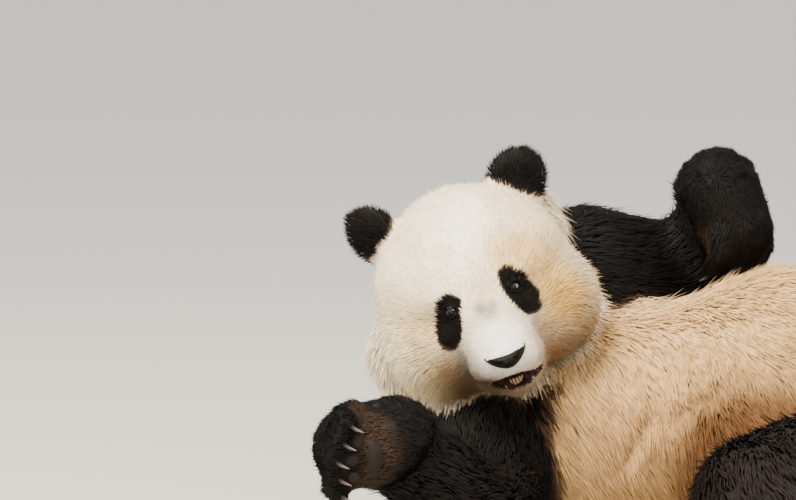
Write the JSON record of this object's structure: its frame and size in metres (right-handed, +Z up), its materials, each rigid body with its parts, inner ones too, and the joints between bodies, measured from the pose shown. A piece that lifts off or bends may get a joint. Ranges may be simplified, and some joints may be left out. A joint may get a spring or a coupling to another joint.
{
  "type": "giant panda model",
  "caption": "Life-size still model of a giant panda lying on its back, head raised and tilted, forepaws lifted, mouth a little open.",
  "frame": {"origin": "on the resting flat under the middle of the trunk, at floor level", "axes": "+Z up from the floor; +X from the head towards the rump; the face and the belly turn towards -Y"},
  "size_m": [1.094, 1.0525, 0.5371],
  "materials": {
    "cream_fur": "matte",
    "black_fur": "matte",
    "brown_fur": "matte",
    "nose_leather": "satin",
    "eye": "gloss",
    "claw_horn": "satin"
  },
  "bodies": {
    "root": {"head": "cream_fur", "lower_jaw": "cream_fur", "neck": "cream_fur", "trunk": "cream_fur", "tail": "cream_fur", "ear_left": "black_fur", "ear_right": "black_fur", "foreleg_left": "black_fur", "foreleg_right": "black_fur", "forepaw_left": "black_fur", "forepaw_right": "black_fur", "hindpaw_left": "black_fur", "hindpaw_right": "black_fur", "hindleg_left": "brown_fur", "hindleg_right": "brown_fur", "nose": "nose_leather", "eye_left": "eye", "eye_right": "eye", "claw_forepaw_left_1": "claw_horn", "claw_forepaw_left_2": "claw_horn", "claw_forepaw_left_3": "claw_horn", "claw_forepaw_left_4": "claw_horn", "claw_forepaw_left_5": "claw_horn", "claw_forepaw_right_1": "claw_horn", "claw_forepaw_right_2": "claw_horn", "claw_forepaw_right_3": "claw_horn", "claw_forepaw_right_4": "claw_horn", "claw_forepaw_right_5": "claw_horn", "claw_hindpaw_left_1": "claw_horn", "claw_hindpaw_left_2": "claw_horn", "claw_hindpaw_left_3": "claw_horn", "claw_hindpaw_left_4": "claw_horn", "claw_hindpaw_left_5": "claw_horn", "claw_hindpaw_right_1": "claw_horn", "claw_hindpaw_right_2": "claw_horn", "claw_hindpaw_right_3": "claw_horn", "claw_hindpaw_right_4": "claw_horn", "claw_hindpaw_right_5": "claw_horn"}
  },
  "joints": []
}
